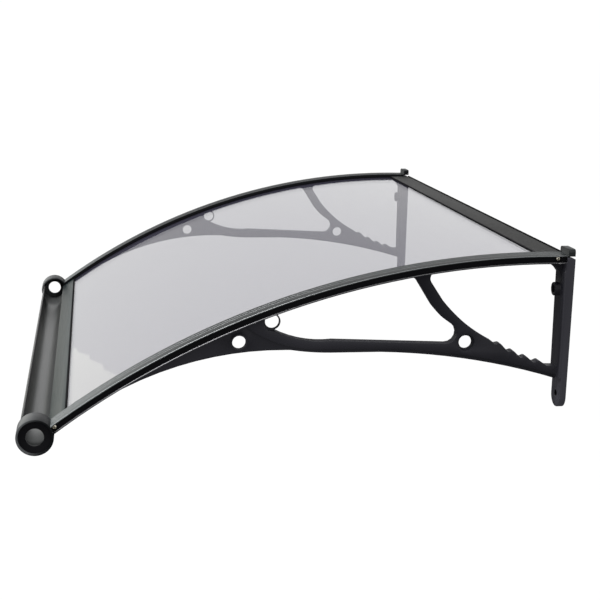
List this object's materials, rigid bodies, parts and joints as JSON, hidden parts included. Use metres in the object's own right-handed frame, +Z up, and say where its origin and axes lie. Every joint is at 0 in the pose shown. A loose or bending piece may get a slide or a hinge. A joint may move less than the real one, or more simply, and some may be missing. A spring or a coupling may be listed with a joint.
{
  "type": "door awning",
  "caption": "Arched polycarbonate door awning: a clear sheet between two black moulded side brackets, with a round front gutter and a flat wall profile.",
  "frame": {"origin": "on the wall plane, at the middle of the awning's width, on the back face of the wall profile", "axes": "+X along the wall to the side of the right-hand bracket, +Y into the wall, +Z up; the awning reaches towards -Y"},
  "size_m": [1, 0.7855, 0.2836],
  "materials": {
    "bracket_plastic": "satin black moulded plastic",
    "cover_plastic": "satin black extruded plastic with two fine grooves",
    "polycarbonate": "clear, slightly smoky polycarbonate",
    "gutter_aluminium": "satin black coated extrusion",
    "profile_aluminium": "black fine-grained coated extrusion",
    "seal_rubber": "black soft seal",
    "screw_steel": "bright plated steel"
  },
  "bodies": {
    "root": {"side_bracket_right": "bracket_plastic", "side_bracket_left": "bracket_plastic", "cover_strip_right": "cover_plastic", "cover_strip_left": "cover_plastic", "cover_pad_right": "seal_rubber", "cover_pad_left": "seal_rubber", "roof_sheet": "polycarbonate", "front_gutter": "gutter_aluminium", "wall_profile": "profile_aluminium", "front_seal": "seal_rubber", "rear_seal": "seal_rubber", "wall_seal": "seal_rubber", "front_screw_right": "screw_steel", "front_screw_left": "screw_steel", "rear_screw_right": "screw_steel", "rear_screw_left": "screw_steel"}
  },
  "joints": []
}
